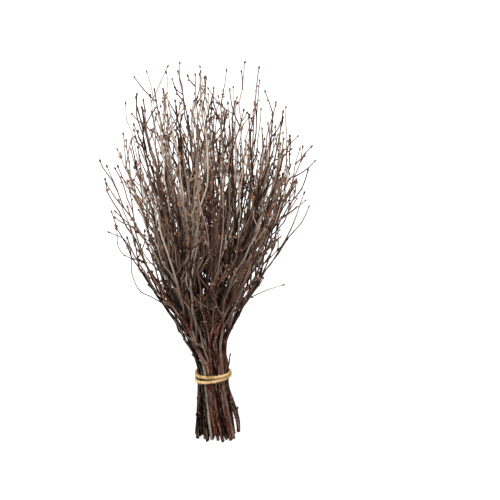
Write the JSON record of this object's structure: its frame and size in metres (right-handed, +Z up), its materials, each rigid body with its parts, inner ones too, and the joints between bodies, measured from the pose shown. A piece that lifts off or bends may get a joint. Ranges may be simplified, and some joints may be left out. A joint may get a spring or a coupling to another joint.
{
  "type": "bundle of twigs",
  "caption": "Bundle of fine birch twigs that fan out above a tie of jute twine near the cut ends, on which the bundle stands.",
  "frame": {"origin": "centre of the foot, on the floor that the cut ends stand on", "axes": "+Z up along the bundle, from the cut ends to the tips; -Y is the front, and the twine's knot is at the back, +Y"},
  "size_m": [0.2432, 0.2041, 0.43],
  "materials": {
    "bark": "dull, dark brown to red-brown bark with grey patches",
    "twine": "matt, pale tan jute"
  },
  "bodies": {
    "root": {"outer_twig_01": "bark", "outer_twig_02": "bark", "outer_twig_03": "bark", "outer_twig_04": "bark", "outer_twig_05": "bark", "outer_twig_06": "bark", "outer_twig_07": "bark", "outer_twig_08": "bark", "outer_twig_09": "bark", "outer_twig_10": "bark", "outer_twig_11": "bark", "outer_twig_12": "bark", "outer_twig_13": "bark", "outer_twig_14": "bark", "outer_twig_15": "bark", "outer_twig_16": "bark", "outer_twig_17": "bark", "outer_twig_18": "bark", "outer_twig_19": "bark", "outer_twig_20": "bark", "outer_twig_21": "bark", "outer_twig_22": "bark", "outer_twig_23": "bark", "outer_twig_24": "bark", "middle_twig_01": "bark", "middle_twig_02": "bark", "middle_twig_03": "bark", "middle_twig_04": "bark", "middle_twig_05": "bark", "middle_twig_06": "bark", "middle_twig_07": "bark", "middle_twig_08": "bark", "middle_twig_09": "bark", "middle_twig_10": "bark", "middle_twig_11": "bark", "middle_twig_12": "bark", "middle_twig_13": "bark", "middle_twig_14": "bark", "middle_twig_15": "bark", "middle_twig_16": "bark", "middle_twig_17": "bark", "middle_twig_18": "bark", "middle_twig_19": "bark", "inner_twigs": "bark", "twine": "twine"}
  },
  "joints": []
}
